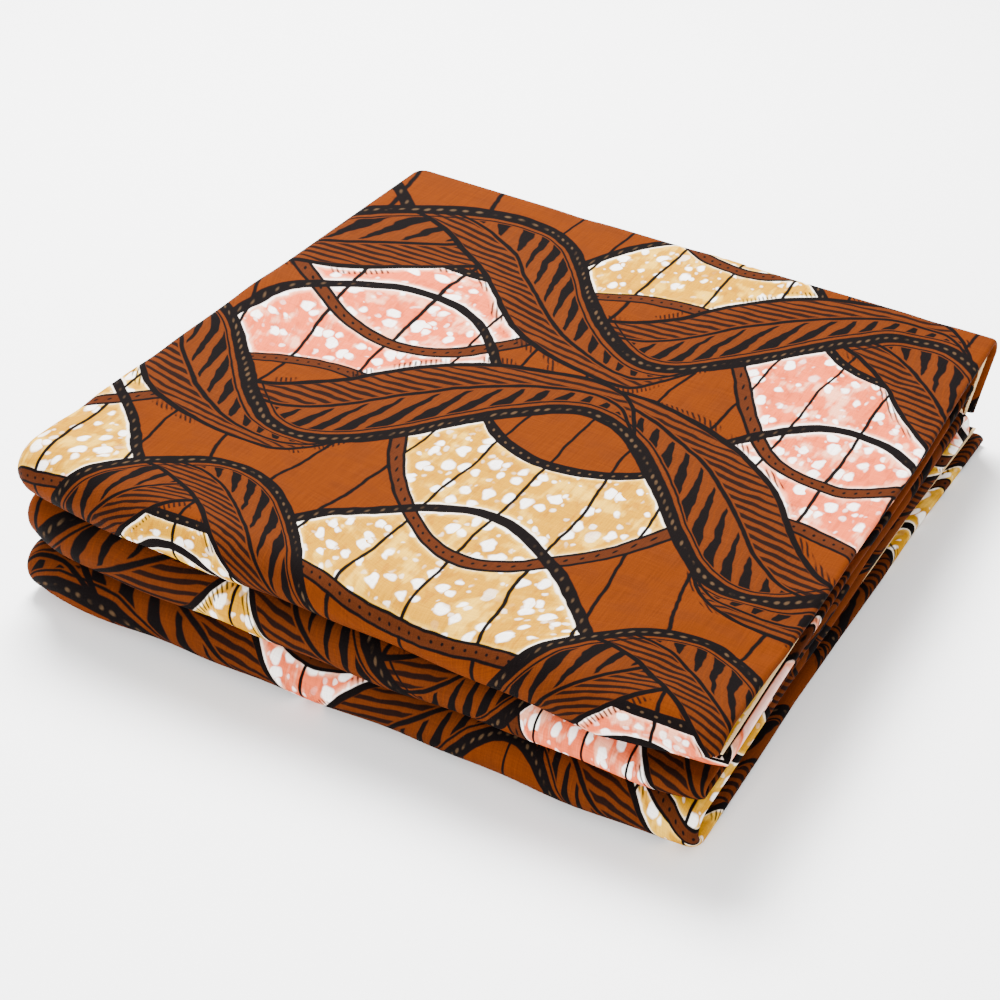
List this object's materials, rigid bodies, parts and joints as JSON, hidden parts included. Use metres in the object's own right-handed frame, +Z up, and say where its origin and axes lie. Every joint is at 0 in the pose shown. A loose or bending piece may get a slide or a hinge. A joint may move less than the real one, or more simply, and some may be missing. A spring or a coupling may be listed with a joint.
{
  "type": "folded printed cloth",
  "caption": "Length of printed cotton cloth folded into a flat square bundle, with round folds along the front and a loose end hanging behind.",
  "frame": {"origin": "under the middle of the bundle's box, on the surface that it rests on", "axes": "+X to the right along the front folds, +Y to the back, +Z up"},
  "size_m": [0.3096, 0.3108, 0.0741],
  "materials": {
    "printed_cotton": "matt, plain-woven cotton with a slight waxed sheen, printed all over in orange-brown, charcoal, gold and pink"
  },
  "bodies": {
    "root": {"cloth": "printed_cotton"}
  },
  "joints": []
}
